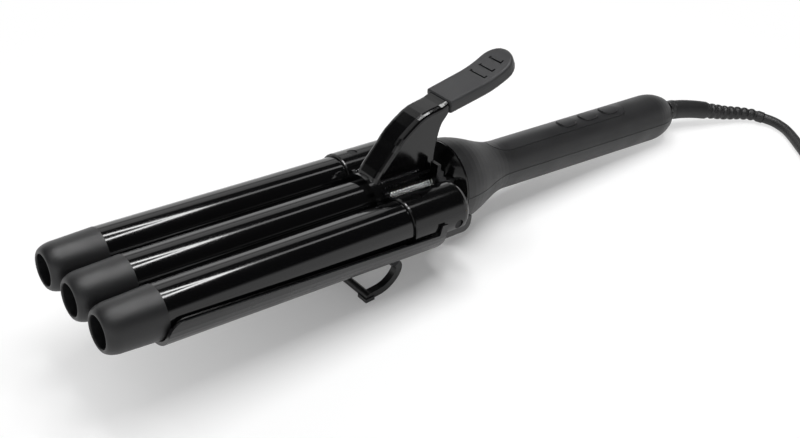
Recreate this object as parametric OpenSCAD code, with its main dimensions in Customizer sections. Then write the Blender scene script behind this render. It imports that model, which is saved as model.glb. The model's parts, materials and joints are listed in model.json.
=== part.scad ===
// Three-barrel hair waver resting on its folding stand, in millimetres.
// X runs from the barrel tips to the cord, Y across the barrels, Z up; the table is z = 0.
// Two frames are used inside. The tool frame has its X axis along the handle and its origin
// under the jaw hinge. The jaw frame has its origin on the hinge and X along the barrels.

/* [Barrels] */
// Outer diameter of a barrel
barrel_od = 25; // [23:0.5:27]
// Distance between neighbouring barrel axes
barrel_pitch = 26.6; // [26.2:0.1:29]
// Wall of a barrel tube
barrel_wall = 1; // [0.8:0.1:1.4]
// Barrel edge at the end cap, measured forward from the hinge
barrel_front = 165.2; // [150:1:180]
// Height of the barrel axes over the hinge axis
barrel_rise = 2; // [1:0.25:3]
// Length of an end cap in front of its barrel
cap_length = 27.1; // [24:0.1:36]
// Radius of the hollow in the tip of an end cap
cap_recess_r = 7.6; // [5:0.1:8]
// Depth of the hollow in the tip of an end cap
cap_recess_depth = 14; // [10:0.5:20]
// Width of a ceramic heater plate
heater_width = 14; // [10:0.5:16]
// Thickness of a ceramic heater plate
heater_thick = 3; // [2:0.25:4]
// Length of an aluminium heat spreader
spreader_length = 72; // [60:1:90]

/* [Jaw carrier] */
// Wall of the carrier collars around the barrels
collar_wall = 1.35; // [1.1:0.05:1.8]
// Length of the closed collar rings
ring_length = 17; // [14:0.5:20]
// Distance from the hinge forward to the back of the closed rings
hood_front = 12.7; // [11:0.1:14]
// Distance from the hinge back to the end of the carrier hood
hood_rear = 9.3; // [8.6:0.1:9.8]
// Radius of the round shoulder at the back of the hood
hood_round = 5.5; // [4:0.25:6]
// Step of the front rim over the middle collar
rim_step = 2; // [1.5:0.1:2.5]
// Length of the front rim
rim_length = 6.6; // [5:0.2:8]
// Thickness of the two ears on the hinge
ear_thick = 2.4; // [2:0.1:3]
// Depth of an ear under the hinge axis
ear_drop = 6.6; // [5.5:0.1:7]

/* [Lever and thumb pad] */
// Half width of the lever fin
fin_half = 8; // [6.5:0.25:8.5]
// Forward position of the thumb pad's front top edge
pad_x = 13.2; // [12:0.2:15]
// Height of the thumb pad's front top edge over the hinge
pad_z = 53.2; // [49:0.2:54]
// Slope of the thumb pad in degrees
pad_slope = 13; // [10:0.5:24]
// Length of the thumb pad
pad_length = 49; // [46:0.5:58]
// Half width of the thumb pad at its front
pad_half_front = 9.6; // [8.8:0.1:11]
// Half width of the thumb pad at its rounded end
pad_half_rear = 10.3; // [7.5:0.1:11]
// Thickness of the soft grip on top of the pad
grip_thick = 3.6; // [3:0.1:4.5]
// Thickness of the hard base under the grip
base_thick = 4.2; // [3.6:0.1:5]

/* [Clamp plate and cover] */
// Running room between a barrel and the clamp plate
plate_gap = 1.2; // [1:0.1:1.6]
// Sheet thickness of the clamp plate
plate_thick = 0.8; // [0.6:0.1:1]
// Radius on the plate's crests between the barrels
crest_r = 2.2; // [1.8:0.1:2.6]
// Wall of the plastic cover under the plate
cover_wall = 1.05; // [0.9:0.05:1.3]
// Front end of the cover, forward of the hinge
cover_front = 167; // [152:1:182]
// Back end of the cover, forward of the hinge
cover_rear = 9.9; // [9.9:0.1:11]

/* [Handle] */
// Radius of the bell at the front of the handle
bell_r = 24.2; // [22:0.1:26]
// Radius of the handle behind the bell
grip_r_front = 14.2; // [13:0.1:15]
// Radius of the handle at its back end
grip_r_rear = 15.1; // [14.3:0.1:16]
// Distance from the hinge to the start of the handle's round end
handle_straight = 203; // [185:1:215]
// Length of the handle's round end
end_length = 22.5; // [18:0.5:26]
// Wall of the handle shells
shell_wall = 2; // [1.6:0.1:2.4]
// Half width of the control panel
panel_half = 7.3; // [6.8:0.1:8.6]
// Depth of the control panel's seat
panel_depth = 1.3; // [1:0.1:1.6]
// Length of a button
button_length = 14; // [11:0.5:15]
// Width of a button
button_width = 9; // [7:0.25:10]
// Distance between neighbouring buttons
button_step = 19.25; // [17:0.25:21]
// Travel of a button
button_travel = 0.8; // [0.5:0.1:1]

/* [Stand] */
// Half distance between the stand's legs
stand_half = 26; // [25:0.5:28]
// Width of a leg of the stand
leg_width = 4; // [3.4:0.2:4.2]
// Half thickness of a leg
leg_half = 2; // [1.5:0.1:2.4]
// Height of the hinge axis over the handle axis
hinge_z = 1.2; // [0.6:0.1:1.8]

/* [Cord] */
// Diameter of the cord
cord_d = 6.5; // [5.5:0.1:7.5]
// Length of the smooth neck on the cord's swivel
boot_length = 29; // [24:1:32]

/* [Hidden] */
$fn = 48;
seat = 0.05;                 // clearance of pieces pressed or screwed together
run = 0.05;                  // radial clearance of a running fit
free = 0.4;                  // room between parts that move past each other
origin_x = -16.7;             // shifts the part so that its box is centred on X = 0
jaw_droop = 1.26;            // the barrels lean onto the plate by this angle

barrel_r = barrel_od / 2;
bore_r = barrel_r + seat;
collar_r = bore_r + collar_wall;
barrel_rear = 8;
barrel_axes = [-barrel_pitch, 0, barrel_pitch];
cap_r = barrel_r + 0.1;
cap_front = barrel_front + cap_length;
spigot_len = 8;
ring_front = hood_front + ring_length;
rim_back = ring_front - 2.1;
rim_front = rim_back + rim_length;
rim_r = collar_r + rim_step;
cavity_r = bore_r - 0.55;
ear_outer = barrel_pitch + collar_r - 0.9;
ear_inner = ear_outer - ear_thick;
beam_half = ear_inner - free;
beam_r = 4;
pin_r = 1.8;
head_r = 2.5;
head_seat = ear_outer - 1;
spring_y = barrel_pitch / 2;
spring_z = barrel_rise + 9.1;
spring_r = 1.9;
spring_wire = 0.7;
spring_curls = 15;
tower_half = 2.8;
tower_x = 3;
screw_x = -19.7;
screw_head_r = 2.5;
screw_r = 1.3;

plate_z = 0.3;
plate_r = barrel_r + plate_gap;
cover_in = plate_r + plate_thick + seat;
cover_r = cover_in + cover_wall;
cover_y = barrel_pitch + cover_r;
plate_back = 36;
neck_x = 13.7;
dome_ball = 35.2;
dome_bore = 12.4;
dome_rim = bell_r - 0.2;
dome_cx = neck_x + sqrt(pow(dome_ball, 2) - pow(dome_bore + seat, 2));
bell_x = 22;
blend_x0 = 24;
blend_x1 = 66;
handle_end = handle_straight + end_length * 0.64;
ring_x1 = handle_straight + end_length * 0.88;
panel_x0 = 56.5;
panel_x1 = handle_straight - 29;
button_x = [for (i = [-1:1]) panel_x1 - 32 + i * button_step];
pad_bend = 23;
pad_rise = 6.1;
pad_round = pad_length - 9.5;
screw_posts = [85, handle_straight - 13];
seam_z = 1.6;
board_x0 = 106;
board_x1 = handle_straight - 25;
board_half = 9;
board_z = 4;
board_thick = 1.6;
switch_top = 7.2;
bush_r = 6.6;
bush_x1 = ring_x1 + 3.2;

stand_pivot = [-30.8, -18.5];
stand_heel = [[-26.6, -23], [-28.5, -29], [-34.9, -34.1]];
stand_foot = [-44.9, -36];
foot_r = 2.2;
stand_pin_r = 1.5;
lug_in = stand_half - leg_half - 4.9;
lug_out = stand_half - leg_half - free;

// The part rests on the stand's foot and on the back end of the handle.
rest_reach = norm([handle_straight - stand_foot[0], -stand_foot[1]]);
function rest_angle(r) = atan2(-stand_foot[1], handle_straight - stand_foot[0])
    + asin((foot_r - r) / rest_reach);
function end_drop(a) = norm([end_length * sin(a), grip_r_rear * cos(a)]);
rest_pitch = rest_angle(end_drop(rest_angle(grip_r_rear)));
lift = stand_foot[0] * sin(rest_pitch) - stand_foot[1] * cos(rest_pitch) + foot_r;
function to_world(x, z) = [x * cos(rest_pitch) + z * sin(rest_pitch) + origin_x,
                           -x * sin(rest_pitch) + z * cos(rest_pitch) + lift];

// Cord routes, as round numbers chosen by hand: x, y, z and the radius there.
boot_tip = to_world(bush_x1 + 0.3, 0);
boot_route = [[215.3, -0.9, 12.5], [222.1, -3.4, 12], [230.7, -7.4, 10.9]];
boot_end = [237.5, -10.9, 9.6];
relief_end = [271.2, -36, 4.3];
relief_route = [[243.7, -14, 8.2], [252.1, -18.4, 6.5], [260.6, -23.2, 5.6], [267.5, -29.4, 5]];
cord_route = [[272.9, -42.5, 4], [272.7, -48, 3.7], [271.1, -54, 3.5], [267.9, -60.2, 3.3],
              [263.7, -66.4, 3.3], [258.9, -73, 3.3], [250.3, -84.8, 3.3], [244.4, -93, 3.3]];
coil_centre = [274.4, -134];
coil_start = 144;
coil_r_in = 26;
coil_r_out = 49.6;
coil_loops = 3.5;
coil_drop = 3.3;
coil_rise = 7;
tail_route = [[225.1, -114, 10.1], [219.6, -119.2, 9.3], [213.8, -124.2, 8.3],
              [207.8, -129, 7.5], [203.2, -132.6, 7.2]];
plug_at = [198.5, -136.2, 7.2];
plug_turn = -142;

// ---- helpers ----------------------------------------------------------------------------

module rod_x(x0, x1, r, y = 0, z = 0)
    translate([x0, y, z]) rotate([0, 90, 0]) cylinder(h = x1 - x0, r = r);

module rod_y(y0, y1, r, x = 0, z = 0)
    translate([x, y0, z]) rotate([-90, 0, 0]) cylinder(h = y1 - y0, r = r);

module rod_z(z0, z1, r, x = 0, y = 0)
    translate([x, y, z0]) cylinder(h = z1 - z0, r = r);

module block(x0, x1, y0, y1, z0, z1)
    translate([x0, y0, z0]) cube([x1 - x0, y1 - y0, z1 - z0]);

// A block symmetric about the XZ plane.
module slab(x0, x1, half, z0, z1)
    block(x0, x1, -half, half, z0, z1);

module both_sides() {
    children();
    mirror([0, 1, 0]) children();
}

// Turns a profile of [radius, x] points about the X axis.
module turn_x(points, y = 0, z = 0)
    translate([0, y, z]) rotate([0, 90, 0]) rotate_extrude() polygon(points);

// Extrudes a profile of x and z along Y, from -half to half.
module along_y(half)
    translate([0, half, 0]) rotate([90, 0, 0]) linear_extrude(2 * half) children();

// Extrudes a profile of y and z along X.
module along_x(x0, x1)
    translate([x0, 0, 0]) rotate([90, 0, 90]) linear_extrude(x1 - x0) children();

module stadium(x0, x1, r) {
    translate([x0 + r, 0]) circle(r = r);
    translate([x1 - r, 0]) circle(r = r);
    translate([x0 + r, -r]) square([x1 - x0 - 2 * r, 2 * r]);
}

// Points of an elliptic arc.
function arc(cx, cy, rx, ry, a0, a1, n = 6) =
    [for (i = [0:n]) let (a = a0 + (a1 - a0) * i / n) [cx + rx * cos(a), cy + ry * sin(a)]];

function unit(v) = v / norm(v);

// A smooth path through points, with steps between each pair.
function blend4(a, b, c, d, t) = ((2 * b) + (c - a) * t + (2 * a - 5 * b + 4 * c - d) * t * t
    + (3 * b - a - 3 * c + d) * t * t * t) / 2;
function smooth_path(p, steps) = concat(
    [for (i = [0:len(p) - 2], s = [0:steps - 1])
        let (a = i == 0 ? 2 * p[0] - p[1] : p[i - 1],
             d = i == len(p) - 2 ? 2 * p[i + 1] - p[i] : p[i + 2])
        blend4(a, p[i], p[i + 1], d, s / steps)],
    [p[len(p) - 1]]);

// Direction of a path at point i; ends may give the directions of its two end faces.
function heading(p, i, ends = []) =
    i == 0 ? (is_undef(ends[0]) ? unit(p[1] - p[0]) : ends[0])
    : i == len(p) - 1 ? (is_undef(ends[1]) ? unit(p[i] - p[i - 1]) : ends[1])
    : unit(unit(p[i + 1] - p[i]) + unit(p[i] - p[i - 1]));

// Side vectors carried along a path without twist.
function carried(side, dir) = unit(side - (side * dir) * dir);
function sides_along(p, i, side, ends) = i == len(p) ? []
    : let (s = carried(side, heading(p, i, ends))) concat([s], sides_along(p, i + 1, s, ends));

// A closed tube swept along a path; radii holds one value for each point.
module tube(path, radii, sides = 8, first = [0, 0, 1], ends = []) {
    side = sides_along(path, 0, first, ends);
    last = len(path) - 1;
    points = [for (i = [0:last])
        let (d = heading(path, i, ends), u = side[i], v = cross(d, u))
        for (k = [0:sides - 1])
            let (a = 360 * k / sides) path[i] + radii[i] * (cos(a) * u + sin(a) * v)];
    skin = [for (i = [0:last - 1], k = [0:sides - 1])
        let (a = i * sides + k, b = i * sides + (k + 1) % sides)
        each [[a, a + sides, b + sides], [a, b + sides, b]]];
    cap0 = [for (k = [1:sides - 2]) [0, k, k + 1]];
    cap1 = [for (k = [1:sides - 2]) [last * sides, last * sides + k + 1, last * sides + k]];
    polyhedron(points, concat(skin, cap0, cap1), convexity = 10);
}

// Least distance between far-apart points of a path, less the tube's diameter.
function self_gap(p, skip, d) = min([for (i = [0:len(p) - 1 - skip], j = [i + skip:len(p) - 1])
    norm(p[i] - p[j])]) - d;

module place_tool()
    translate([origin_x, 0, lift]) rotate([0, rest_pitch, 0]) children();

module place_jaw()
    place_tool() translate([0, 0, hinge_z]) rotate([0, -jaw_droop, 0]) children();

// ---- jaw: barrels, caps and what is inside them -----------------------------------------

module barrel(y) color("#1b1b1d") place_jaw() difference() {
    rod_x(-barrel_front, -barrel_rear, barrel_r, y, barrel_rise);
    rod_x(-barrel_front - 1, -barrel_rear + 1, barrel_r - barrel_wall, y, barrel_rise);
    if (y != 0) rod_z(barrel_rise + 5, barrel_rise + barrel_r + 1, screw_r + 0.2, screw_x, y);
}

module barrel_left() barrel(-barrel_pitch);
module barrel_middle() barrel(0);
module barrel_right() barrel(barrel_pitch);

module end_cap(y) color("#4a4b4e") place_jaw() {
    nose = 8;
    lip = 0.6;
    nose_r = cap_r - 0.9;
    lip_r = cap_recess_r + lip;
    spigot_r = barrel_r - barrel_wall - seat;
    floor_x = -cap_front + cap_recess_depth;
    turn_x(concat(
        [[0, floor_x], [cap_recess_r, floor_x]],
        arc(lip_r, -cap_front + 0.8, lip, 0.8, 180, 270, 3),
        arc(lip_r, -cap_front + nose, nose_r - lip_r, nose, 270, 360, 11),
        [[cap_r, -barrel_front], [spigot_r, -barrel_front],
         [spigot_r, -barrel_front + spigot_len], [spigot_r - 1.8, -barrel_front + spigot_len],
         [spigot_r - 1.8, floor_x + 2], [0, floor_x + 2]]), y, barrel_rise);
}

module end_cap_left() end_cap(-barrel_pitch);
module end_cap_middle() end_cap(0);
module end_cap_right() end_cap(barrel_pitch);

spreader_front = barrel_front - spigot_len - 18;
spreader_r = barrel_r - barrel_wall - seat;

module heat_spreaders() color("#c9ccd0") place_jaw()
    for (y = barrel_axes, s = [-1, 1]) difference() {
        intersection() {
            rod_x(-spreader_front, -spreader_front + spreader_length, spreader_r, y, barrel_rise);
            translate([-spreader_front - 1, y - barrel_r,
                       barrel_rise + (s > 0 ? heater_thick / 2 : -heater_thick / 2 - barrel_r)])
                cube([spreader_length + 2, barrel_od, barrel_r]);
        }
        for (t = [-1, 1]) rod_x(-spreader_front - 1, -spreader_front + spreader_length + 1,
            2.9, y + t * 5.2, barrel_rise + s * 5.6);
    }

module heater_plates() color("#f1efe8") place_jaw()
    for (y = barrel_axes)
        block(-spreader_front + 10, -spreader_front + spreader_length - 10,
              y - heater_width / 2, y + heater_width / 2,
              barrel_rise - heater_thick / 2, barrel_rise + heater_thick / 2);

// ---- jaw: carrier, lever and pad --------------------------------------------------------

module collar_body(y) {
    round_in = collar_r - hood_round;
    turn_x(concat(
        [[0, -ring_front], [collar_r - 0.8, -ring_front]],
        arc(collar_r - 0.8, -ring_front + 0.8, 0.8, 0.8, 270, 360, 2),
        arc(round_in, hood_rear - hood_round, hood_round, hood_round, 0, 90, 6),
        [[0, hood_rear]]), y, barrel_rise);
}

module collar_cavity(y) {
    rod_x(-rim_front - 1, -barrel_rear, bore_r, y, barrel_rise);
    intersection() {
        turn_x([[0, -barrel_rear - 1], [cavity_r, -barrel_rear - 1],
                [cavity_r, hood_rear - hood_round], [cavity_r - 3.8, hood_rear - 2],
                [0, hood_rear - 2]], y, barrel_rise);
        slab(-barrel_rear - 2, hood_rear, ear_inner, -40, 40);
    }
}

module ear_profile() {
    round_r = 5;
    polygon(concat([[-9.7, barrel_rise], [-9.7, 1.5 - ear_drop], [-8.2, -ear_drop]],
        arc(hood_rear - round_r, -ear_drop + round_r, round_r, round_r, 270, 360, 5),
        [[hood_rear, barrel_rise]]));
}

module jaw_carrier() color("#151517") place_jaw() difference() {
    union() {
        for (y = barrel_axes) collar_body(y);
        difference() {
            rod_x(-rim_front, -rim_back, rim_r, 0, barrel_rise);
            slab(-rim_front - 1, -rim_back + 1, rim_r + 1, -40, -9);
            for (y = [-barrel_pitch, barrel_pitch])
                rod_x(-rim_front - 1, -ring_front, barrel_r + free, y, barrel_rise);
        }
        for (y = [-spring_y, spring_y]) rod_x(-rim_back - 2, -rim_back, 2.5, y, spring_z);
        both_sides() translate([0, ear_outer - ear_thick / 2, 0])
            along_y(ear_thick / 2) ear_profile();
    }
    for (y = barrel_axes) collar_cavity(y);
    slab(-hood_front, hood_rear + 1, ear_inner, -40, 1);
    rod_y(-ear_inner, ear_inner, beam_r + 0.6);
    both_sides() {
        // The collars' skin below the hinge ends at the ear.
        block(-hood_front, -9.7, ear_inner - 1, barrel_pitch + barrel_od, -40, 1);
        block(-9.7, hood_rear + 1, ear_inner - 1, barrel_pitch + barrel_od, -40, -ear_drop);
        rod_y(ear_inner - 1, ear_outer + 3, pin_r + run);
        rod_y(head_seat, ear_outer + 3, head_r + 0.15);
        // Room for a tower of the spring bracket over the whole swing.
        block(-2.6, hood_rear + 1, spring_y - tower_half - 0.6, spring_y + tower_half + 0.6,
              barrel_rise + 5, 40);
        // Countersunk hole of a collar screw.
        translate([screw_x, barrel_pitch, screw_top]) {
            rod_z(-6, 2, screw_r + run);
            translate([0, 0, -1.2]) cylinder(h = 1.2, r1 = screw_r + run, r2 = screw_head_r + run);
            rod_z(-0.01, 2, screw_head_r + 0.25);
        }
    }
}

screw_top = barrel_rise + collar_r - 0.35;

module collar_screws() color("#b9bbbe") place_jaw() both_sides() {
    rod_z(barrel_rise + barrel_r - 3.5, screw_top - 1, screw_r, screw_x, barrel_pitch);
    translate([screw_x, barrel_pitch, screw_top - 1.2])
        cylinder(h = 1.2, r1 = screw_r, r2 = screw_head_r);
}

function pad_point(u, w) = [pad_x + u * cos(pad_slope) - w * sin(pad_slope),
                            pad_z + u * sin(pad_slope) + w * cos(pad_slope)];

// Front and back edges of the fin, from the collar up to the pad.
fin_front = concat([[-33.4, 10], [-32.2, 16], [-28.7, 22], [-21.2, 31.5], [-16.2, 38],
                    [-5.7, 46.3], [1.3, 49], [9, 50.6]], [pad_point(0, -1)]);
fin_back = concat([[8.3, 10], [8.3, 14], [8.4, 20], [8.5, 26], [8.8, 31], [9.5, 36],
                   [10.8, 40.5], [13.2, 43.6]], [pad_point(0, -grip_thick - base_thick + 0.5)]);

// One section of the fin: a rectangle from front to back, rounded more at the front.
function fin_section(f, b) =
    let (d = unit(b - f), len_fb = norm(b - f), rf = min(3, len_fb / 3), rb = 1.2,
         h = fin_half,
         flat = concat(arc(rf, h - rf, rf, rf, 180, 90, 4),
                       arc(len_fb - rb, h - rb, rb, rb, 90, 0, 2),
                       arc(len_fb - rb, rb - h, rb, rb, 0, -90, 2),
                       arc(rf, rf - h, rf, rf, 270, 180, 4)))
    [for (q = flat) [f[0] + d[0] * q[0], q[1], f[1] + d[1] * q[0]]];

module loft(sections) {
    n = len(sections[0]);
    last = len(sections) - 1;
    skin = [for (i = [0:last - 1], k = [0:n - 1])
        let (a = i * n + k, b = i * n + (k + 1) % n)
        each [[a, b + n, a + n], [a, b, b + n]]];
    cap0 = [for (k = [1:n - 2]) [0, k + 1, k]];
    cap1 = [for (k = [1:n - 2]) [last * n, last * n + k, last * n + k + 1]];
    polyhedron([for (s = sections) each s], concat(skin, cap0, cap1), convexity = 6);
}

module fin() {
    front = smooth_path(fin_front, 2);
    back = smooth_path(fin_back, 2);
    loft([for (i = [0:len(front) - 1]) fin_section(front[i], back[i])]);
}

tongue_half = 5;

module lever() color("#19191b") place_jaw() difference() {
    union() {
        fin();
        intersection() {
            rod_x(-rim_back + 0.2, 6, collar_r + 1.5, 0, barrel_rise);
            slab(-rim_front, 7, spring_y - tower_half - 1.1, barrel_rise + 2, 40);
        }
        translate([pad_x, 0, pad_z]) rotate([0, -pad_slope, 0])
            slab(-2, 14, tongue_half, -grip_thick - base_thick + 1, -grip_thick - 0.8);
    }
    rod_x(-rim_front - 1, 40, collar_r + seat, 0, barrel_rise);
    rod_x(-rim_front - 1, -rim_back + seat, rim_r + seat, 0, barrel_rise);
}

// The pad runs straight from the lever, then curves up to its round end.
function pad_lift(u) = pad_rise * pow(max(0, u - pad_bend) / (pad_length - pad_bend), 2);
function pad_tilt(u) = atan(2 * pad_rise * max(0, u - pad_bend) / pow(pad_length - pad_bend, 2));
function pad_half(u) = u < pad_round
    ? pad_half_front + (pad_half_rear - pad_half_front) * u / pad_round
    : pad_half_rear * sqrt(max(0, 1 - pow((u - pad_round) / (pad_length - pad_round), 2)));

pad_steps = concat([0, 0.6], [for (i = [1:10]) pad_round * i / 10],
    [for (i = [1:7]) pad_round + (pad_length - pad_round) * sin(90 * i / 7)]);

// A layer of the pad between two depths, with rounded upper and lower edges.
module pad_layer(top, low, inset, r_top, r_low) loft([for (u = pad_steps)
    let (edge = u == 0 ? 0.5 : 0, h = max(pad_half(u) - inset - edge, 0.9), a = pad_tilt(u),
         near = 1 - sqrt(max(0, 1 - pow(max(0, 1 - (pad_length - u) / 1.6), 2))),
         z1 = top - r_top * near - edge, z0 = low + r_low * near + edge / 2,
         rt = min(r_top, 0.6 * h), rl = min(r_low, 0.6 * h))
    [for (q = concat(arc(h - rt, z1 - rt, rt, rt, 0, 90, 4),
                     arc(rt - h, z1 - rt, rt, rt, 90, 180, 4),
                     arc(rl - h, z0 + rl, rl, rl, 180, 270, 2),
                     arc(h - rl, z0 + rl, rl, rl, 270, 360, 2)))
        [u - q[1] * sin(a), q[0], pad_lift(u) + q[1] * cos(a)]]]);

module place_pad() place_jaw()
    translate([pad_x, 0, pad_z]) rotate([0, -pad_slope, 0]) children();

module pad_base() color("#2c2c2f") place_pad() difference() {
    pad_layer(-grip_thick - 0.02, -grip_thick - base_thick, 0.6, 0.5, 1.2);
    slab(-1, 14 + seat, tongue_half + seat, -grip_thick - base_thick + 1 - seat,
         -grip_thick - 0.8 + seat);
}

// Grooves across the grip; each is a slot with a short hook at its ends.
groove_u = [40.1, 33.2, 26.9];
groove_half = [4.7, 5.3, 5.9];

module pad_grip() color("#3a3b3e") place_pad() difference() {
    pad_layer(0, -grip_thick, 0, 1.5, 0.3);
    for (i = [0:2])
        translate([groove_u[i], 0, pad_lift(groove_u[i])])
            rotate([0, -pad_tilt(groove_u[i]), 0]) {
                slab(0, 1, groove_half[i], -0.9, 2);
                block(0, 2.6, -groove_half[i], 1 - groove_half[i], -0.9, 2);
                block(0, 1.8, groove_half[i] - 1, groove_half[i], -0.9, 2);
            }
}

// ---- closing springs across the hinge ---------------------------------------------------

spring_x0 = -rim_back;
spring_x1 = tower_x * cos(jaw_droop) + (spring_z - hinge_z) * sin(jaw_droop) - 0.1;

function spring_path(y) =
    let (r = spring_r - spring_wire / 2, len_coil = spring_x1 - spring_x0 - 2 * spring_wire,
         n = spring_curls * 8)
    concat([[spring_x0, y, spring_z + r]],
        [for (i = [0:n]) let (a = 360 * i / 8)
            [spring_x0 + spring_wire + len_coil * i / n, y + r * sin(a), spring_z + r * cos(a)]],
        [[spring_x1, y, spring_z + r]]);

module jaw_spring(y) color("#d8dade") place_jaw() {
    path = spring_path(y);
    echo(spring_gap = self_gap(path, 7, spring_wire));
    tube(path, [for (p = path) spring_wire / 2], 6, [0, 1, 0]);
}

module jaw_spring_left() jaw_spring(-spring_y);
module jaw_spring_right() jaw_spring(spring_y);

// ---- clamp plate, cover and hinge frame -------------------------------------------------

// Upper line of three troughs of radius r joined by round crests, from left to right.
plate_reach = plate_r + crest_r;
crest_z = plate_z - sqrt(pow(plate_reach, 2) - pow(barrel_pitch / 2, 2));
crest_turn = atan2(crest_z - plate_z, barrel_pitch / 2);
function inner(list) = [for (i = [1:len(list) - 2]) list[i]];
function crest_line(y, r) = inner(arc(y, crest_z, plate_reach - r, plate_reach - r,
                                      180 + crest_turn, -crest_turn, 6));
function trough_line(r, top) = concat([[-barrel_pitch - r, top]],
    arc(-barrel_pitch, plate_z, r, r, 180, 360 + crest_turn, 12),
    crest_line(-barrel_pitch / 2, r),
    arc(0, plate_z, r, r, 180 - crest_turn, 360 + crest_turn, 10),
    crest_line(barrel_pitch / 2, r),
    arc(barrel_pitch, plate_z, r, r, 180 - crest_turn, 360, 12),
    [[barrel_pitch + r, top]]);
function reversed(list) = [for (i = [len(list) - 1:-1:0]) list[i]];

// A tub with round lower corners, as seen from the front.
module tub(r) polygon(concat([[-barrel_pitch - r, 40]],
    arc(-barrel_pitch, plate_z, r, r, 180, 270, 9),
    arc(barrel_pitch, plate_z, r, r, 270, 360, 9),
    [[barrel_pitch + r, 40]]));

rim_front_z = 2.2;
rim_back_z = -0.6;

// Side view of the cover: its rim falls to the back and turns up at the end.
module cover_side(lip, x0, x1, turned) {
    upturn = turned ? [[-cover_rear - 4.6, rim_back_z + lip], [-cover_rear - 3.6, 5],
                       [-cover_rear, 5]]
                    : [[x1, rim_back_z + lip]];
    polygon(concat(
        [[x0, -40], [x0, -4.5]],
        arc(x0 + 6.5, -4.5, 6.5, rim_front_z + lip + 4.5, 180, 90, 6),
        upturn,
        turned ? concat([[-cover_rear, plate_z - cover_r + 5]],
                        arc(-cover_rear - 5, plate_z - cover_r + 5, 5, 5, 0, -90, 5))
               : [],
        [[turned ? -cover_rear - 5 : x1, -40]]));
}

module clamp_plate() color("#101012") place_tool() intersection() {
    along_x(-cover_front + 1.6, -plate_back)
        polygon(concat(trough_line(plate_r + plate_thick, 8), reversed(trough_line(plate_r, 8))));
    along_y(60) cover_side(0.8, -cover_front + 1, -plate_back + 1, false);
}

module cover_lugs() both_sides() difference() {
    translate([0, (lug_in + lug_out) / 2, 0]) along_y((lug_out - lug_in) / 2) polygon([
        [stand_pivot[0] - 7, plate_z - cover_r + 0.5], [stand_pivot[0] - 3.2, -20.6],
        [stand_pivot[0] + 3.2, -20.6], [stand_pivot[0] + 7, plate_z - cover_r + 0.5]]);
    rod_y(0, 60, stand_pin_r + seat, stand_pivot[0], stand_pivot[1]);
}

module plate_cover() color("#202023") place_tool() {
    difference() {
        intersection() {
            along_x(-cover_front, -cover_rear) tub(cover_r);
            along_y(60) cover_side(0, -cover_front, -cover_rear, true);
        }
        along_x(-cover_front + 1.5, -cover_rear + 1) tub(cover_in);
        along_x(-cover_front - 1, -cover_front + 2) polygon(trough_line(plate_r, 40));
    }
    cover_lugs();
}

frame_floor = plate_z - cover_in + seat;

module hinge_frame() color("#1d1d20") place_tool() difference() {
    union() {
        rod_y(-beam_half, beam_half, beam_r, 0, hinge_z);
        slab(-6, 6, barrel_pitch + 1, frame_floor, -1.2);
        slab(-34, 6, barrel_pitch + 1, frame_floor, frame_floor + 1.6);
        slab(5.9, neck_x + 1, 20, frame_floor + 0.8, -2.4);
        rod_x(neck_x, 30, dome_bore);
    }
    rod_x(neck_x + 2.5, 31, dome_bore - 3.4);
    both_sides() rod_y(beam_half - 6, beam_half + 1, pin_r, 0, hinge_z);
}

module hinge_pins() color("#8d8f93") place_tool() both_sides() {
    rod_y(beam_half - 6, head_seat + 0.1, pin_r, 0, hinge_z);
    rod_y(head_seat + 0.05, ear_outer, head_r, 0, hinge_z);
}

bracket_foot = 9.3;

module spring_bracket() color("#6a6b6f") place_tool() both_sides()
    translate([0, spring_y, 0]) along_y(tower_half) polygon([
        [tower_x, bracket_foot], [tower_x, 23], [5.2, 23], [5.6, 19], [7.8, 18.4],
        [8.2, 14.9], [10.2, 14.2], [10.8, 12.2], [17.2, 11.6], [17.2, bracket_foot]]);

module neck_dome() color("#161618") place_tool() difference() {
    intersection() {
        translate([dome_cx, 0, 0]) sphere(r = dome_ball, $fn = 96);
        rod_x(neck_x - 1, bell_x, dome_rim);
    }
    rod_x(neck_x - 2, bell_x + 1, dome_bore + seat);
    slab(neck_x - 2, neck_x + 1 + seat, 20 + seat, frame_floor, -2.4 + seat);
    both_sides() translate([0, spring_y, 0])
        block(neck_x - 3, 17.2 + seat, -tower_half - seat, tower_half + seat,
              bracket_foot - seat, 11.6 + 0.4);
}

// ---- handle -----------------------------------------------------------------------------

function handle_r(x) =
    x <= blend_x0 ? bell_r
    : x < blend_x1 ? grip_r_front + (bell_r - grip_r_front)
        * (1 + cos(180 * (x - blend_x0) / (blend_x1 - blend_x0))) / 2
    : x <= handle_straight ? grip_r_front + (grip_r_rear - grip_r_front)
        * (x - blend_x1) / (handle_straight - blend_x1)
    : grip_r_rear * sqrt(1 - pow((x - handle_straight) / end_length, 2));

handle_steps = concat([bell_x, blend_x0], [for (i = [1:11]) blend_x0 + i * 3.5], [blend_x1,
    handle_straight], [for (i = [1:5]) handle_straight
        + (handle_end - handle_straight) * i / 5]);

module handle_body() difference() {
    turn_x(concat([[0, bell_x]], [for (x = handle_steps) [handle_r(x), x]], [[0, handle_end]]));
    // Inside, with a shoulder that clamps the frame's spigot and a wall round the bush.
    turn_x([[0, bell_x - 1], [bell_r - shell_wall, bell_x - 1],
            [bell_r - shell_wall, blend_x0 + 2], [handle_r(44) - shell_wall, 44],
            [grip_r_front - shell_wall, blend_x1], [grip_r_rear - shell_wall, handle_straight - 4],
            [grip_r_rear - shell_wall, handle_straight + 3], [0, handle_straight + 3]]);
    rod_x(handle_straight, handle_end + 1, bush_r + 0.08);
    rod_x(handle_straight + 6.5, handle_straight + 9, 9.1);
}

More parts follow.
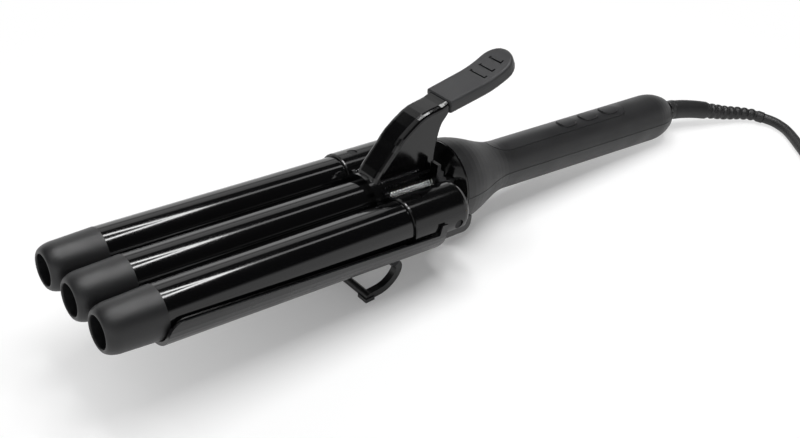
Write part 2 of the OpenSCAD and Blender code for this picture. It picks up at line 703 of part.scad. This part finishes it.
// Two ribs inside the bell hold the spigot of the hinge frame.
module spigot_rib() difference() {
    union() {
        rod_x(24.5, 26.5, bell_r - shell_wall + 0.2);
        rod_x(27.5, 29.5, handle_r(30) - shell_wall + 0.2);
    }
    rod_x(20, 40, dome_bore + seat);
}

// Seat of the control panel, pointed at the front like the panel.
module panel_outline(inset = 0) {
    half = panel_half - inset;
    nose = 14 - inset;
    polygon(concat(arc(panel_x0 + 14, 0, nose, half, 90, 270, 16), [[panel_x1 - panel_half, -half],
        [panel_x1 - panel_half, half]]));
    translate([panel_x1 - panel_half, 0]) circle(r = half);
}

panel_floor_front = handle_r(panel_x0) - panel_depth;

module panel_space(inset = 0, drop = 0) intersection() {
    linear_extrude(40) panel_outline(inset);
    difference() {
        rod_x(panel_x0 - 2, panel_x1 + 2, 40);
        turn_x([[0, panel_x0 - 3], [handle_r(panel_x0) - panel_depth - drop, panel_x0 - 3],
                [handle_r(blend_x1) - panel_depth - drop, blend_x1],
                [handle_r(panel_x1) - panel_depth - drop, panel_x1 + 3], [0, panel_x1 + 3]]);
    }
}

module button_outline(x, inset = 0) translate([x, 0])
    stadium(-button_length / 2 + inset, button_length / 2 - inset, button_width / 2 - inset);

button_flange = 1;

module handle_top_shell() color("#2a2a2c") place_tool() difference() {
    union() {
        intersection() {
            union() {
                handle_body();
                spigot_rib();
            }
            block(bell_x - 1, handle_end + 1, -40, 40, seam_z + 0.3, 40);
        }
        // Posts that carry the circuit board.
        for (x = [board_x0 + 3, board_x1 - 3]) both_sides()
            rod_z(board_z + board_thick, sqrt(pow(handle_r(x) - shell_wall, 2) - 49) + 0.6, 1.6, x, 7);
        both_sides() for (x = screw_posts)
            block(x - 2, x + 2, 3, 5, 0.05, handle_r(x) - shell_wall - 0.6);
        for (x = screw_posts) rod_z(0.05, handle_r(x) - shell_wall + 0.3, 3, x, 0);
    }
    panel_space(0);
    for (x = button_x) translate([0, 0, board_z + board_thick + 0.1]) linear_extrude(20)
        button_outline(x, -0.9);
    for (x = screw_posts) rod_z(-1, 8, 0.95, x, 0);
}

module handle_bottom_shell() color("#262628") place_tool() difference() {
    union() {
        intersection() {
            union() {
                handle_body();
                spigot_rib();
            }
            block(bell_x - 1, handle_end + 1, -40, 40, -40, seam_z);
        }
        for (x = screw_posts) rod_z(-handle_r(x) + shell_wall - 0.3, 0, 3.4, x, 0);
        // Ribs under the circuit board.
        for (x = [board_x0 + 3, board_x1 - 3]) both_sides()
            block(x - 1, x + 1, 6.2, 8, -sqrt(pow(handle_r(x) - shell_wall, 2) - 64) - 0.3, 0);
    }
    for (x = screw_posts) {
        rod_z(-40, -4, 2.3, x, 0);
        rod_z(-5, 1, 1.35, x, 0);
    }
}

module handle_screws() color("#a7a9ad") place_tool() for (x = screw_posts) {
    rod_z(-3.95, 7, 0.95, x, 0);
    rod_z(-5.6, -4, 2, x, 0);
}

module top_panel() color("#111113") place_tool() difference() {
    intersection() {
        panel_space(0.25, -0.02);
        turn_x(concat([[0, 30]], [for (x = concat([30], handle_steps)) if (x > 40)
            [handle_r(x) + 0.12, x]]));
    }
    for (x = button_x) linear_extrude(40) button_outline(x, -0.25);
}

module button(x) color("#0d0d0f") place_tool() {
    top = handle_r(x) + 0.7;
    edge = 0.5;
    // The flange sits under the panel, whose underside falls away from the middle.
    under = sqrt(pow(handle_r(x) - panel_depth, 2) - pow(button_width / 2 + 0.5, 2)) + 0.2;
    intersection() {
        rod_x(x - button_length, x + button_length, handle_r(x) + 0.7);
        union() {
            translate([0, 0, under - 0.6]) linear_extrude(top - edge - under + 0.6)
                button_outline(x);
            translate([0, 0, under]) linear_extrude(5) button_outline(x, edge);
        }
    }
    translate([0, 0, under - button_flange]) linear_extrude(button_flange - 0.3)
        button_outline(x, -0.5);
    rod_z(switch_top + button_travel + 0.1, under - button_flange + 0.1, 1.6, x, 0);
}

module button_front() button(button_x[0]);
module button_middle() button(button_x[1]);
module button_rear() button(button_x[2]);

module control_board() color("#1f5a36") place_tool()
    slab(board_x0, board_x1, board_half, board_z, board_z + board_thick);

module tact_switches() color("#8f9296") place_tool() for (x = button_x) {
    block(x - 3, x + 3, -3, 3, board_z + board_thick, board_z + board_thick + 1.2);
    rod_z(board_z + board_thick + 1.1, switch_top, 1.4, x, 0);
}

module end_ring() color("#121214") place_tool() {
    r0 = handle_r(handle_end);
    difference() {
        turn_x(concat([[bush_r + 0.08, handle_end]],
            [for (i = [0:5]) let (x = handle_end + (ring_x1 - handle_end) * i / 5)
                [handle_r(x) + 0.15, x]],
            [[bush_r + 0.08, ring_x1]]));
    }
}

// ---- cord swivel ------------------------------------------------------------------------

flange_x = handle_straight + 6.5;

module swivel_bush() color("#1a1a1c") place_tool() {
    rod_x(handle_straight + 2.6, bush_x1, bush_r);
    rod_x(flange_x + 0.1, flange_x + 2.4, 9);
    rod_x(handle_straight - 7, handle_straight + 2.6, 5);
}

module slip_rings() color("#c9a24a") place_tool() for (x = [-6, -2])
    difference() {
        rod_x(handle_straight + x, handle_straight + x + 2.4, 5.8);
        rod_x(handle_straight + x - 1, handle_straight + x + 4, 5 + run);
    }

module contact_leads() color("#d0ad55") place_tool() for (x = [-5.3, -1.3])
    block(handle_straight + x, handle_straight + x + 1, -3, 3,
          -sqrt(pow(grip_r_rear - shell_wall, 2) - 9), -6.2);

// ---- folding stand ----------------------------------------------------------------------

// Side view of a leg: a bar of even width along a smooth line, with an eye at the pivot.
leg_line = smooth_path(concat([stand_pivot], stand_heel, [stand_foot]), 4);
function leg_edge(side) = [for (i = [0:len(leg_line) - 1])
    let (d = heading(leg_line, i)) leg_line[i] + side * leg_width / 2 * [-d[1], d[0]]];
eye_r = 2.8;

module stand_bars() {
    difference() {
        both_sides() {
            translate([0, stand_half, 0]) along_y(leg_half)
                polygon(concat(leg_edge(1), reversed(leg_edge(-1))));
            rod_y(stand_half - leg_half, stand_half + leg_half, eye_r,
                  stand_pivot[0], stand_pivot[1]);
        }
        rod_y(-60, 60, stand_pin_r + run, stand_pivot[0], stand_pivot[1]);
    }
    rod_y(-stand_half - leg_half - 0.4, stand_half + leg_half + 0.4, foot_r,
          stand_foot[0], stand_foot[1]);
}

foot_at = to_world(stand_foot[0], stand_foot[1]);

module stand() color("#3b3c40") {
    place_tool() stand_bars();
    // Flat feet at the ends of the cross bar.
    both_sides() block(foot_at[0] - 2.8, foot_at[0] + 2.8, stand_half - 4, stand_half + 3,
                       0, foot_r);
}

module stand_pins() color("#9fa1a5") place_tool() both_sides() {
    rod_y(lug_in, stand_half + leg_half + 0.3, stand_pin_r, stand_pivot[0], stand_pivot[1]);
    rod_y(stand_half + leg_half + 0.2, stand_half + leg_half + 1.2, stand_pin_r + 0.8,
          stand_pivot[0], stand_pivot[1]);
}

// ---- cord -------------------------------------------------------------------------------

boot_start = [boot_tip[0], 0, boot_tip[1]];
boot_path = smooth_path(concat([boot_start, boot_start
    + 6 * [cos(rest_pitch), 0, -sin(rest_pitch)]], boot_route, [boot_end]), 3);
relief_path = smooth_path(concat([boot_end], relief_route, [relief_end]), 7);
// End faces that meet share one direction.
boot_dir = unit(relief_route[0] - boot_route[2]);
relief_dir = unit(cord_route[0] - relief_route[3]);

module cord_boot() color("#1c1c1e")
    tube(boot_path, [for (i = [0:len(boot_path) - 1])
        6.4 - 0.6 * i / (len(boot_path) - 1)], 12, ends = [undef, boot_dir]);

// Ribs and grooves alternate along the relief while it tapers to the cord.
module strain_relief() color("#1c1c1e") {
    n = len(relief_path) - 1;
    tube(relief_path, [for (i = [0:n]) let (t = i / n, full = 5.4 - 1.7 * t)
        i % 4 < 2 || i > n - 2 ? full : full - 0.7], 12, ends = [boot_dir, relief_dir]);
}

// A loop's angle runs on; its radius goes in and out again, climbing where it turns back.
function coil_point(i, n) =
    let (t = 2 * coil_loops * i / n, a = coil_start + 360 * t,
         inward = t < coil_loops ? t / coil_loops : 2 - t / coil_loops,
         r = coil_r_out - (coil_r_out - coil_r_in) * inward,
         climb = min(1, max(0, (t - coil_loops + 0.25) * 2)),
         s = climb * climb * (3 - 2 * climb))
    [coil_centre[0] + r * cos(a), coil_centre[1] + r * sin(a), coil_drop + coil_rise * s];

coil_n = 24 * 2 * coil_loops;
coil_path = [for (i = [0:coil_n]) coil_point(i, coil_n)];

coil_first = unit(coil_path[1] - coil_path[0]);
coil_last = unit(coil_path[coil_n] - coil_path[coil_n - 1]);
coil_in = coil_path[0] - cord_d * coil_first;
coil_out = coil_path[coil_n] + cord_d * coil_last;

module cord_coil() color("#1a1a1c") {
    path = concat([coil_in], coil_path, [coil_out]);
    echo(coil_gap = self_gap(path, 12, cord_d));
    tube(path, [for (p = path) cord_d / 2], 6);
}

module lead(points, ends) {
    path = smooth_path(points, 2);
    tube(path, [for (p = path) cord_d / 2], 10, ends = ends);
}

module cord() color("#1a1a1c")
    lead(concat([relief_end], cord_route, [coil_in]), [relief_dir, coil_first]);

module cord_tail() color("#1a1a1c")
    lead(concat([coil_out], tail_route, [plug_at]),
         [coil_last, [cos(plug_turn), sin(plug_turn), 0]]);

module place_plug() translate(plug_at) rotate([0, 0, plug_turn]) children();

plug_length = 36;
plug_half = 13;
plug_thick = 13.6;

module plug_body() color("#1a1a1c") place_plug() {
    translate([0, 0, 0]) rotate([0, 90, 0]) cylinder(h = 12, r1 = cord_d / 2 + 1, r2 = 6);
    intersection() {
        translate([0, 0, -plug_thick / 2]) linear_extrude(plug_thick) polygon([
            [9, -5.5], [18, -plug_half + 1.5], [26, -plug_half], [plug_length, -plug_half],
            [plug_length, plug_half], [26, plug_half], [18, plug_half - 1.5], [9, 5.5]]);
        rod_x(8, plug_length + 1, 13.8);
    }
}

module plug_pins() color("#c9a24a") place_plug() both_sides()
    rod_x(plug_length, plug_length + 19, 2, 9.3, 0);

barrel_left();
barrel_middle();
barrel_right();
end_cap_left();
end_cap_middle();
end_cap_right();
heat_spreaders();
heater_plates();
jaw_carrier();
collar_screws();
lever();
pad_base();
pad_grip();
jaw_spring_left();
jaw_spring_right();
clamp_plate();
plate_cover();
hinge_frame();
hinge_pins();
neck_dome();
spring_bracket();
handle_top_shell();
handle_bottom_shell();
end_ring();
top_panel();
button_front();
button_middle();
button_rear();
control_board();
tact_switches();
handle_screws();
swivel_bush();
slip_rings();
contact_leads();
stand();
stand_pins();
cord_boot();
strain_relief();
cord();
cord_coil();
cord_tail();
plug_body();
plug_pins();
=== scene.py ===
"""Studio picture of the three-barrel hair waver, dressed round its CAD frame.

Blender's lengths are metres; mm() takes millimetres.
"""
import json
import math

import bpy
from mathutils import Matrix, Vector


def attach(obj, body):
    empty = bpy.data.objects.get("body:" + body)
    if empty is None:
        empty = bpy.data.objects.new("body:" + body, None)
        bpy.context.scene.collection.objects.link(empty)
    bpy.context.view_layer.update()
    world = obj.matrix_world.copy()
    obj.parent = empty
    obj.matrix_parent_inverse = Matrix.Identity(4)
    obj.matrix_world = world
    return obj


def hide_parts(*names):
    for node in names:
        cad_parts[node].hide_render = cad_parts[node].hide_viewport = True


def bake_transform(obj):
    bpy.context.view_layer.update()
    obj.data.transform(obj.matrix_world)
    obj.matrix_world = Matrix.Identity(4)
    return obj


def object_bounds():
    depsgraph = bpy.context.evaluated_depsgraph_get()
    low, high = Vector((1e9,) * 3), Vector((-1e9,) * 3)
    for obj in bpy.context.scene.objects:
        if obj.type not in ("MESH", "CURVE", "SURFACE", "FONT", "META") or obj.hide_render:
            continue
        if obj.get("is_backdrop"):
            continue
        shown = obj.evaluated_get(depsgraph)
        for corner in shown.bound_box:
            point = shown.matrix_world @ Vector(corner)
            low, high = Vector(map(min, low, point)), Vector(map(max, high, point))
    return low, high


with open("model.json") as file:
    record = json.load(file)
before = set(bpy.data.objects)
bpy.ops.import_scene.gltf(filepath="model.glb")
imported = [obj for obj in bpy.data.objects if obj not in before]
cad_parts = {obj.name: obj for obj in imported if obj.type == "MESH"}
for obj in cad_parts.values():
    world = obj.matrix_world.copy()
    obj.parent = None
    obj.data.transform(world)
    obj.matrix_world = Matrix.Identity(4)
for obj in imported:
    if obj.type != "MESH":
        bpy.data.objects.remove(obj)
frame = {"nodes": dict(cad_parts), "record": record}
cad_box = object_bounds()
scene = bpy.context.scene
MM = 0.001


# ---- small helpers --------------------------------------------------------------------------

def mm(*values):
    return Vector([v * MM for v in values])


def smooth_path(points, steps):
    """Catmull-Rom curve through the points."""
    out = []
    for i in range(len(points) - 1):
        b, c = points[i], points[i + 1]
        a = points[i - 1] if i else 2 * b - c
        d = points[i + 2] if i + 2 < len(points) else 2 * c - b
        for s in range(steps):
            t = s / steps
            out.append((2 * b + (c - a) * t + (2 * a - 5 * b + 4 * c - d) * t * t
                        + (3 * b - a - 3 * c + d) * t ** 3) / 2)
    return out + [points[-1]]


def path_length(points):
    return sum((b - a).length for a, b in zip(points, points[1:]))


def new_mesh(name, verts, faces, smooth=True):
    mesh = bpy.data.meshes.new(name)
    mesh.from_pydata([tuple(v) for v in verts], [], faces)
    mesh.update()
    if smooth:
        for p in mesh.polygons:
            p.use_smooth = True
    obj = bpy.data.objects.new(name, mesh)
    scene.collection.objects.link(obj)
    return obj


def tube(name, path, radius, sides=32, side=Vector((0, 0, 1))):
    """Closed tube along a path; radius is a function of the distance along it, from 0 to 1."""
    verts, faces, n = [], [], len(path)
    total, run = path_length(path), 0.0
    for i, p in enumerate(path):
        if i:
            run += (p - path[i - 1]).length
        d = (path[min(i + 1, n - 1)] - path[max(i - 1, 0)]).normalized()
        side = (side - side.dot(d) * d).normalized()
        other = d.cross(side)
        r = radius(run / total)
        for k in range(sides):
            a = 2 * math.pi * k / sides
            verts.append(p + r * (math.cos(a) * side + math.sin(a) * other))
    for i in range(n - 1):
        for k in range(sides):
            a, b = i * sides + k, i * sides + (k + 1) % sides
            faces.append((a, b, b + sides, a + sides))
    faces.append(tuple(range(sides))[::-1])
    faces.append(tuple(range((n - 1) * sides, n * sides)))
    return new_mesh(name, verts, faces)


# ---- camera, as solved from the photograph's perspective --------------------------------------

camera_data = bpy.data.cameras.new("camera")
camera_data.sensor_fit = "HORIZONTAL"
camera_data.sensor_width = 36
camera_data.lens = 46.79
camera_data.clip_start = 0.01
camera = bpy.data.objects.new("camera", camera_data)
scene.collection.objects.link(camera)
right = Vector((0.7711, -0.6354, 0.0408)).normalized()
forward = Vector((0.5438, 0.6238, -0.5614)).normalized()
up = right.cross(forward)
camera.matrix_world = Matrix.Translation(mm(-330.06, -353.46, 336.37)) @ Matrix(
    (right, up, -forward)).transposed().to_4x4()
scene.camera = camera

# ---- the tool's own frame, with X along the handle --------------------------------------------

PITCH = math.radians(5.2928)
TOOL = Matrix.Translation(mm(-16.7, 0, 33.905)) @ Matrix.Rotation(PITCH, 4, "Y")
HINGE_Z = 1.2
JAW = TOOL @ Matrix.Translation(mm(0, 0, HINGE_Z)) @ Matrix.Rotation(math.radians(-1.26), 4, "Y")

# ---- cord, on the same points as the CAD route ------------------------------------------------

CORD_D, CORD_Z = 6.5, 3.3
BOOT_END = mm(237.5, -10.9, 9.6)
RELIEF_END = mm(271.2, -36, 4.3)
BUSH_END = TOOL @ mm(226.3, 0, 0)
boot_path = smooth_path([BUSH_END, BUSH_END + 6 * MM * (TOOL.to_3x3() @ Vector((1, 0, 0))),
                         mm(215.3, -0.9, 12.5), mm(222.1, -3.4, 12), mm(230.7, -7.4, 10.9),
                         BOOT_END], 8)
relief_path = smooth_path([BOOT_END, mm(243.7, -14, 8.2), mm(252.1, -18.4, 6.5),
                           mm(260.6, -23.2, 5.6), mm(267.5, -29.4, 5), RELIEF_END], 28)
cord_route = [mm(272.9, -42.5, 4), mm(272.7, -48, 3.7), mm(271.1, -54, 3.5),
              mm(267.9, -60.2, 3.3), mm(263.7, -66.4, 3.3), mm(258.9, -73, 3.3),
              mm(250.3, -84.8, 3.3), mm(244.4, -93, 3.3)]
tail_route = [mm(225.1, -114, 10.1), mm(219.6, -119.2, 9.3), mm(213.8, -124.2, 8.3),
              mm(207.8, -129, 7.5), mm(203.2, -132.6, 7.2), mm(198.5, -136.2, 7.2)]
COIL_LOOPS, COIL_IN, COIL_OUT = 3.5, 26, 49.6
COIL_CENTRE, COIL_START, LAYER_RISE = (274.4, -134), 144, 7
coil_count = int(24 * 2 * COIL_LOOPS)


def coil_point(i):
    """Two layers: the spiral runs in, climbs while it turns back, and runs out again."""
    t = 2 * COIL_LOOPS * i / coil_count
    a = math.radians(COIL_START + 360 * t)
    inward = t / COIL_LOOPS if t < COIL_LOOPS else 2 - t / COIL_LOOPS
    r = COIL_OUT - (COIL_OUT - COIL_IN) * inward
    climb = min(1, max(0, (t - COIL_LOOPS + 0.25) * 2))
    return mm(COIL_CENTRE[0] + r * math.cos(a), COIL_CENTRE[1] + r * math.sin(a),
              CORD_Z + LAYER_RISE * climb * climb * (3 - 2 * climb))


coil = [coil_point(i) for i in range(coil_count + 1)]
coil_in = coil[0] + CORD_D * MM * (coil[0] - coil[1]).normalized()
coil_out = coil[-1] + CORD_D * MM * (coil[-1] - coil[-2]).normalized()
lead_points = smooth_path([RELIEF_END] + cord_route + [coil_in] + coil + [coil_out] + tail_route, 4)

lead = tube("lead", lead_points, lambda t: CORD_D / 2 * MM, 24)
NECK_R, NECK_TAPER = 6.4, 0.6
neck = tube("cord_neck", boot_path, lambda t: (NECK_R - NECK_TAPER * t) * MM, 40)


RELIEF_R, RELIEF_TAPER, RIBS, GROOVE = 5.4, 1.7, 35 / 4, 0.75


def relief_radius(t):
    """Ribs between soft-edged grooves, tapering to the cord."""
    wave = (t * RIBS) % 1
    cut = 0 if t > 0.95 else 0.5 - 0.5 * math.tanh(9 * (abs(wave - 0.62) - 0.2))
    return (RELIEF_R - RELIEF_TAPER * t - GROOVE * cut) * MM


relief = tube("ribbed_relief", relief_path, relief_radius, 40)

nodes = frame["nodes"]
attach(lead, "handle")
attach(neck, "handle")
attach(relief, "handle")
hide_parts("cord", "cord_coil", "cord_tail")
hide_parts("cord_boot")
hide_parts("strain_relief")


# ---- materials --------------------------------------------------------------------------------

MOTTLE, MOTTLE_SCALE, GRAIN_DEPTH = 0.05, 60, 0.0002


def material(name, colour, rough, *, metal=0.0, grain=0.0, grain_scale=1500, rough_vary=0.05,
             specular=0.5):
    """Principled finish with mottled colour, uneven roughness and a fine raised grain."""
    mat = bpy.data.materials.new(name)
    mat.use_nodes = True
    tree = mat.node_tree
    shader = tree.nodes["Principled BSDF"]
    coords = tree.nodes.new("ShaderNodeTexCoord").outputs["Object"]

    def noise(scale, detail):
        tex = tree.nodes.new("ShaderNodeTexNoise")
        tex.inputs["Scale"].default_value = scale
        tex.inputs["Detail"].default_value = detail
        tree.links.new(coords, tex.inputs["Vector"])
        return tex.outputs["Fac"]

    def spread(value, low, high):
        node = tree.nodes.new("ShaderNodeMapRange")
        node.inputs["From Min"].default_value = 0.3
        node.inputs["From Max"].default_value = 0.7
        node.inputs["To Min"].default_value = low
        node.inputs["To Max"].default_value = high
        tree.links.new(value, node.inputs["Value"])
        return node.outputs["Result"]

    broad = noise(MOTTLE_SCALE, 4)
    mix = tree.nodes.new("ShaderNodeMix")
    mix.data_type = "RGBA"
    mix.inputs["A"].default_value = (*[c * (1 - MOTTLE) for c in colour], 1)
    mix.inputs["B"].default_value = (*[min(1, c * (1 + MOTTLE)) for c in colour], 1)
    tree.links.new(broad, mix.inputs["Factor"])
    tree.links.new(mix.outputs["Result"], shader.inputs["Base Color"])
    tree.links.new(spread(broad, rough - rough_vary, rough + rough_vary),
                   shader.inputs["Roughness"])
    shader.inputs["Metallic"].default_value = metal
    shader.inputs["Specular IOR Level"].default_value = specular
    if grain:
        bump = tree.nodes.new("ShaderNodeBump")
        bump.inputs["Strength"].default_value = grain
        bump.inputs["Distance"].default_value = GRAIN_DEPTH
        tree.links.new(noise(grain_scale, 2), bump.inputs["Height"])
        tree.links.new(bump.outputs["Normal"], shader.inputs["Normal"])
    return mat


finish_of = {
    "barrel": material("black_ceramic", (0.0016, 0.0016, 0.0018), 0.1, grain=0.012,
                       grain_scale=900, rough_vary=0.02),
    "end_cap": material("cool_tip", (0.0045, 0.0045, 0.0052), 0.44, grain=0.2, grain_scale=2600,
                        specular=0.5),
    "spreader": material("extruded_aluminium", (0.6, 0.61, 0.63), 0.35, metal=1.0, grain=0.05),
    "ceramic": material("white_ceramic", (0.8, 0.78, 0.72), 0.5, grain=0.1),
    "gloss_black": material("gloss_black", (0.0018, 0.0018, 0.002), 0.14, grain=0.01,
                            grain_scale=500, rough_vary=0.02, specular=0.4),
    "soft_grip": material("pad_grip", (0.013, 0.013, 0.0145), 0.55, grain=0.2, grain_scale=2600),
    "pad_hard": material("pad_base", (0.010, 0.010, 0.011), 0.45, grain=0.12, grain_scale=2200),
    "plate": material("plate_coating", (0.002, 0.002, 0.002), 0.2, grain=0.02,
                      rough_vary=0.03),
    "cover": material("cover_plastic", (0.004, 0.004, 0.0045), 0.3, grain=0.05,
                      grain_scale=1800),
    "frame": material("glass_nylon", (0.005, 0.005, 0.0055), 0.45, grain=0.2),
    "steel": material("black_oxide", (0.020, 0.020, 0.021), 0.3, metal=1.0, grain=0.04),
    "chrome": material("bright_wire", (0.85, 0.85, 0.87), 0.12, metal=1.0, rough_vary=0.03),
    "handle": material("soft_touch", (0.0065, 0.0065, 0.0072), 0.48, grain=0.14,
                       grain_scale=3000, rough_vary=0.06),
    "panel": material("control_panel", (0.010, 0.010, 0.011), 0.4, grain=0.05,
                      grain_scale=2400),
    "button": material("button_plastic", (0.010, 0.010, 0.011), 0.42, grain=0.08,
                       grain_scale=2400),
    "board": material("solder_mask", (0.02, 0.16, 0.07), 0.4, grain=0.05),
    "brass": material("brass", (0.72, 0.52, 0.24), 0.28, metal=1.0, grain=0.03),
    "cord": material("cord_rubber", (0.006, 0.006, 0.0065), 0.5, grain=0.1, grain_scale=1600),
    "stand": material("stand_plastic", (0.004, 0.004, 0.0045), 0.38, grain=0.1,
                      grain_scale=1800),
}

slot_of = {s["node"]: s["material_slot"] for s in frame["record"]["subparts"]}
for name, obj in nodes.items():
    finish = finish_of[slot_of[name]]
    obj.data.materials.clear()
    obj.data.materials.append(finish)
for piece in (lead, neck, relief):
    piece.data.materials.append(finish_of["cord"])

# ---- closing springs, as smooth wire that stretches across the hinge ---------------------------

SPRING_Y, SPRING_Z, SPRING_X = 13.3, 11.1, (-27.6, 3.14)
COIL_R, WIRE_R, SPRING_CURLS, CURL_STEPS = 1.55, 0.35, 15, 24
END_GAP, FIXED_END = 0.7, 1  # straight wire before the curls

for name, y in (("jaw_spring_left", -SPRING_Y), ("jaw_spring_right", SPRING_Y)):
    x0, x1 = SPRING_X
    curl_steps = SPRING_CURLS * CURL_STEPS
    wire = [mm(x0, y, SPRING_Z + COIL_R)]
    for i in range(curl_steps + 1):
        turn = 2 * math.pi * i / CURL_STEPS
        wire.append(mm(x0 + END_GAP + (x1 - x0 - 2 * END_GAP) * i / curl_steps,
                       y + COIL_R * math.sin(turn), SPRING_Z + COIL_R * math.cos(turn)))
    wire += [mm(x1, y, SPRING_Z + COIL_R)]
    spring = tube(name + "_wire", [JAW @ p for p in wire], lambda t: WIRE_R * MM, 10,
                  Vector((0, 1, 0)))
    spring.data.materials.append(finish_of["chrome"])
    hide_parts(name)
    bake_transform(spring)

# ---- studio -----------------------------------------------------------------------------------

FLOOR_WHITE, FLOOR_LIFT, FLOOR_FADE = 0.93, 0.14, (0.0, 0.45)


def floor_material():
    """Pale floor that keeps the shadow and fades to plain white away from the object."""
    mat = bpy.data.materials.new("studio_floor")
    mat.use_nodes = True
    tree = mat.node_tree
    shader = tree.nodes["Principled BSDF"]
    shader.inputs["Base Color"].default_value = (FLOOR_WHITE, FLOOR_WHITE, FLOOR_WHITE, 1)
    shader.inputs["Roughness"].default_value = 0.9
    shader.inputs["Specular IOR Level"].default_value = 0.1

    def calc(operation, a, b, clamp=False):
        node = tree.nodes.new("ShaderNodeMath")
        node.operation = operation
        node.use_clamp = clamp
        for socket, value in zip(node.inputs, (a, b)):
            if isinstance(value, (int, float)):
                socket.default_value = value
            else:
                tree.links.new(value, socket)
        return node.outputs[0]

    path = tree.nodes.new("ShaderNodeLightPath").outputs
    seen = calc("ADD", calc("ADD", path["Is Camera Ray"], path["Is Glossy Ray"]),
                path["Is Transmission Ray"], True)
    coords = tree.nodes.new("ShaderNodeTexCoord").outputs["Object"]
    distance = tree.nodes.new("ShaderNodeVectorMath")
    distance.operation = "LENGTH"
    tree.links.new(coords, distance.inputs[0])
    fade = tree.nodes.new("ShaderNodeMapRange")
    fade.interpolation_type = "SMOOTHSTEP"
    for name, value in (("From Min", FLOOR_FADE[0]), ("From Max", FLOOR_FADE[1]),
                        ("To Min", FLOOR_LIFT), ("To Max", 1.0)):
        fade.inputs[name].default_value = value
    tree.links.new(distance.outputs["Value"], fade.inputs["Value"])
    white = tree.nodes.new("ShaderNodeEmission")
    white.inputs["Strength"].default_value = 1
    mix = tree.nodes.new("ShaderNodeMixShader")
    tree.links.new(calc("MULTIPLY", fade.outputs["Result"], seen), mix.inputs["Fac"])
    tree.links.new(shader.outputs["BSDF"], mix.inputs[1])
    tree.links.new(white.outputs["Emission"], mix.inputs[2])
    tree.links.new(mix.outputs["Shader"], tree.nodes["Material Output"].inputs["Surface"])
    return mat


FLOOR_HALF = 6
floor = new_mesh("floor", [(x * FLOOR_HALF, y * FLOOR_HALF, 0)
                           for x, y in ((-1, -1), (1, -1), (1, 1), (-1, 1))], [(0, 1, 2, 3)], False)
floor.data.materials.append(floor_material())
floor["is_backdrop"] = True

world = bpy.data.worlds.new("studio")
scene.world = world
world.use_nodes = True
# The backdrop is white along the horizon, and dark overhead but for the lamps.
tree = world.node_tree
axes = tree.nodes.new("ShaderNodeSeparateXYZ")
tree.links.new(tree.nodes.new("ShaderNodeTexCoord").outputs["Generated"], axes.inputs["Vector"])
dim = tree.nodes.new("ShaderNodeMapRange")
dim.interpolation_type = "SMOOTHSTEP"
for name, value in (("From Min", 0.22), ("From Max", 0.42), ("To Min", 1.0), ("To Max", 0.03)):
    dim.inputs[name].default_value = value
tree.links.new(axes.outputs["Z"], dim.inputs["Value"])
tree.links.new(dim.outputs["Result"], tree.nodes["Background"].inputs["Strength"])
tree.nodes["Background"].inputs["Color"].default_value = (1, 1, 1, 1)


def lamp(name, where, size, radiance, matrix):
    """Rectangular soft lamp; radiance is the brightness of its face."""
    data = bpy.data.lights.new(name, "AREA")
    data.shape = "RECTANGLE"
    data.size, data.size_y = size
    data.energy = radiance * math.pi * size[0] * size[1]
    obj = bpy.data.objects.new(name, data)
    scene.collection.objects.link(obj)
    obj.matrix_world = Matrix.Translation(where) @ matrix
    return obj


def aimed(where, target=(0, 0, 0)):
    return (Vector(target) - Vector(where)).to_track_quat("-Z", "Y").to_matrix().to_4x4()


# A square ring of four strips hangs over the handle, and shows as two lines along each barrel.
RING_Z, STRIP_WIDTH, STRIP_RADIANCE = 1.2, 0.085, 21
corners = [(0.51, 0.04), (0.17, 0.52), (-0.17, 0.04), (0.17, -0.44)]
for i, (x0, y0) in enumerate(corners):
    x1, y1 = corners[(i + 1) % 4]
    length = math.hypot(x1 - x0, y1 - y0)
    lamp(f"ring_{i}", ((x0 + x1) / 2, (y0 + y1) / 2, RING_Z), (length, STRIP_WIDTH),
         STRIP_RADIANCE, Matrix.Rotation(math.atan2(y1 - y0, x1 - x0), 4, "Z"))
lamp("tail", (0.76, 0.04, RING_Z), (0.44, 0.17), 2.6, Matrix.Identity(4))
for name, where, size, radiance in (
        ("overhead", (-0.7, 0.1, 1.9), (1.8, 1.8), 0.8),
        ("front_left", (-1.1, -0.9, 0.6), (1.8, 0.9), 0.7),
        ("back", (0.5, 1.4, 0.65), (1.8, 0.6), 0.45),
        ("back_top", (0.5, 1.35, 1.3), (1.8, 0.66), 0.95)):
    lamp(name, where, size, radiance, aimed(where))

scene.view_settings.view_transform = "Standard"

size = {"cad": [list(v) for v in cad_box], "visual": [list(v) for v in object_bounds()]}
